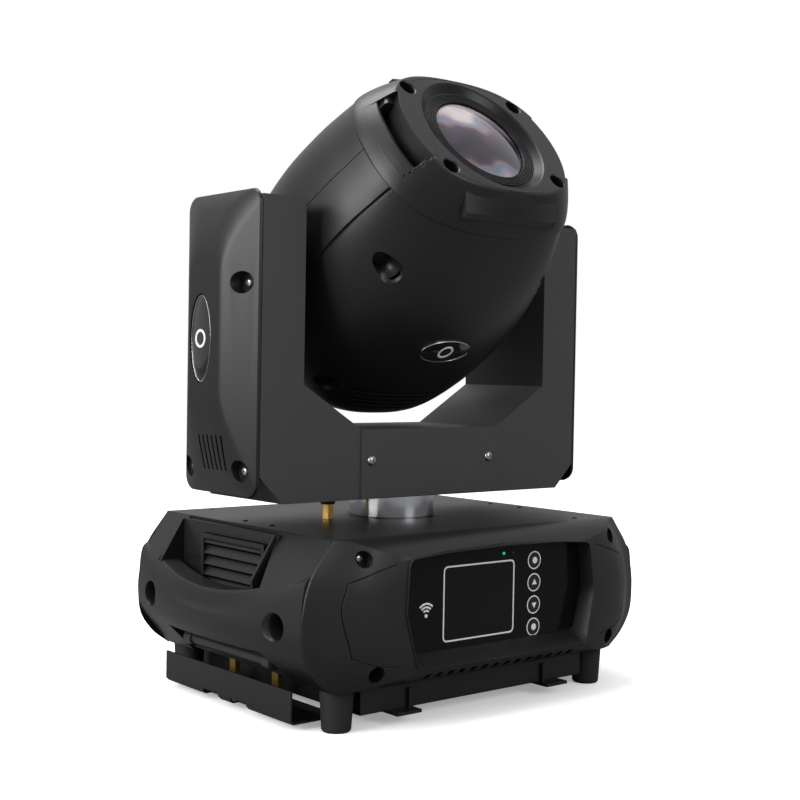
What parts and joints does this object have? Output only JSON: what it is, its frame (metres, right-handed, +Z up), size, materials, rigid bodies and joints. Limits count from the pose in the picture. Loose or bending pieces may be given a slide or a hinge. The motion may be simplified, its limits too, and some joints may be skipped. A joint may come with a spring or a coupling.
{
  "type": "moving head light",
  "caption": "Compact moving head stage light: a base with a control panel and side handles, a panning two-arm yoke, and a tilting lamp head with a glass lens.",
  "frame": {"origin": "on the pan axis, in the plane that the rubber feet stand on", "axes": "+Z up along the pan axis, +X along the control panel towards the buttons' side, -Y out of the control panel"},
  "size_m": [0.379, 0.2928, 0.5027],
  "materials": {
    "painted_steel": "fine satin texture",
    "moulded_plastic": "fine grained",
    "gloss_panel": "smooth gloss",
    "display_glass": "gloss",
    "circuit_board": "satin",
    "button_plastic": "satin",
    "socket_blue": "satin",
    "socket_metal": "satin",
    "bare_steel": "brushed",
    "dark_steel": "satin",
    "bare_aluminium": "turned",
    "motor_black": "satin",
    "brass": "turned",
    "rubber": "matt",
    "belt_rubber": "matt",
    "black_plastic": "satin",
    "lens_glass": "coated",
    "filter_glass": "coloured",
    "copper_core": "satin"
  },
  "bodies": {
    "base": {"base_chassis": "painted_steel", "base_top_plate": "painted_steel", "front_bezel": "moulded_plastic", "rear_bezel": "moulded_plastic", "left_side_cover": "moulded_plastic", "right_side_cover": "moulded_plastic", "louvre_grilles": "moulded_plastic", "control_panel": "gloss_panel", "display_module": "display_glass", "control_board": "circuit_board", "connector_plate": "dark_steel", "power_sockets": "socket_blue", "dmx_sockets": "socket_metal", "power_supply": "bare_steel", "pan_bearing": "bare_aluminium", "pan_motor": "motor_black", "pan_belt": "belt_rubber", "rubber_feet": "rubber", "side_rails": "painted_steel", "brass_posts": "brass", "carry_rods": "dark_steel", "mounting_brackets": "painted_steel", "pan_stop_cap": "black_plastic", "base_screws": "dark_steel"},
    "yoke": {"yoke_frame": "painted_steel", "bridge_covers": "painted_steel", "left_arm_cover": "moulded_plastic", "right_arm_cover": "moulded_plastic", "pan_spindle": "bare_aluminium", "pan_pulley": "bare_aluminium", "tilt_motor": "motor_black", "tilt_belt": "belt_rubber", "tilt_bearings": "bare_aluminium", "yoke_screws": "bare_steel"},
    "head": {"lower_head_shell": "moulded_plastic", "upper_head_shell": "moulded_plastic", "front_cap": "moulded_plastic", "lens_ring": "black_plastic", "front_lens": "lens_glass", "head_chassis": "bare_aluminium", "tilt_trunnions": "bare_aluminium", "tilt_pulley": "bare_aluminium", "led_engine": "copper_core", "heat_sink": "bare_aluminium", "guide_rods": "bare_steel", "effect_motors": "motor_black", "head_screws": "dark_steel"},
    "menu_button": {"menu_button": "button_plastic"},
    "up_button": {"up_button": "button_plastic"},
    "down_button": {"down_button": "button_plastic"},
    "enter_button": {"enter_button": "button_plastic"},
    "power_switch": {"power_switch": "button_plastic"},
    "pan_motor_pulley": {"pan_motor_pulley": "brass"},
    "tilt_motor_pulley": {"tilt_motor_pulley": "brass"},
    "colour_wheel": {"colour_wheel": "filter_glass"},
    "gobo_wheel": {"gobo_wheel": "bare_steel"},
    "prism_arm": {"prism_arm": "lens_glass"},
    "focus_carriage": {"focus_carriage": "black_plastic"},
    "fan_rotor": {"fan_rotor": "black_plastic"}
  },
  "joints": [
    {"name": "pan", "type": "hinge", "parent": "base", "child": "yoke", "pos_m": [0, 0, 0.153], "axis": [0, 0, 1], "range_deg": [-270, 270]},
    {"name": "tilt", "type": "hinge", "parent": "yoke", "child": "head", "pos_m": [0, 0, 0.36855], "axis": [1, 0, 0], "range_deg": [-181.5, 78.5]},
    {"name": "pan_motor_turn", "type": "hinge", "parent": "base", "child": "pan_motor_pulley", "pos_m": [0.098, 0, 0.12], "axis": [0, 0, 1], "range_deg": [-2010, 2010]},
    {"name": "tilt_motor_turn", "type": "hinge", "parent": "yoke", "child": "tilt_motor_pulley", "pos_m": [0.14, 0, 0.24055], "axis": [1, 0, 0], "range_deg": [-545, 236]},
    {"name": "menu_press", "type": "slide", "parent": "base", "child": "menu_button", "axis": [0, 1, 0], "range_m": [0, 0.0008], "stiffness_N_per_m": 600, "springref_m": -0.0005},
    {"name": "up_press", "type": "slide", "parent": "base", "child": "up_button", "axis": [0, 1, 0], "range_m": [0, 0.0008], "stiffness_N_per_m": 600, "springref_m": -0.0005},
    {"name": "down_press", "type": "slide", "parent": "base", "child": "down_button", "axis": [0, 1, 0], "range_m": [0, 0.0008], "stiffness_N_per_m": 600, "springref_m": -0.0005},
    {"name": "enter_press", "type": "slide", "parent": "base", "child": "enter_button", "axis": [0, 1, 0], "range_m": [0, 0.0008], "stiffness_N_per_m": 600, "springref_m": -0.0005},
    {"name": "switch_rock", "type": "hinge", "parent": "base", "child": "power_switch", "pos_m": [0.062, 0.13, 0.088], "axis": [1, 0, 0], "range_deg": [-8, 8]},
    {"name": "colour_turn", "type": "hinge", "parent": "head", "child": "colour_wheel", "pos_m": [-0.03, 0.018, 0.35423], "axis": [0, -0.7826, 0.6225], "continuous": true},
    {"name": "gobo_turn", "type": "hinge", "parent": "head", "child": "gobo_wheel", "pos_m": [0.03, 0.00391, 0.36544], "axis": [0, -0.7826, 0.6225], "continuous": true},
    {"name": "prism_swing", "type": "hinge", "parent": "head", "child": "prism_arm", "pos_m": [-0.052, -0.00793, 0.41319], "axis": [0, -0.7826, 0.6225], "range_deg": [-50, 0]},
    {"name": "focus_slide", "type": "slide", "parent": "head", "child": "focus_carriage", "axis": [0, -0.7826, 0.6225], "range_m": [0, 0.02]},
    {"name": "fan_turn", "type": "hinge", "parent": "head", "child": "fan_rotor", "pos_m": [0, 0.08922, 0.29758], "axis": [0, -0.7826, 0.6225], "continuous": true}
  ],
  "couplings": [
    {"joint": "pan_motor_turn", "follows": "pan", "ratio": 7.4286},
    {"joint": "tilt_motor_turn", "follows": "tilt", "ratio": 3}
  ]
}
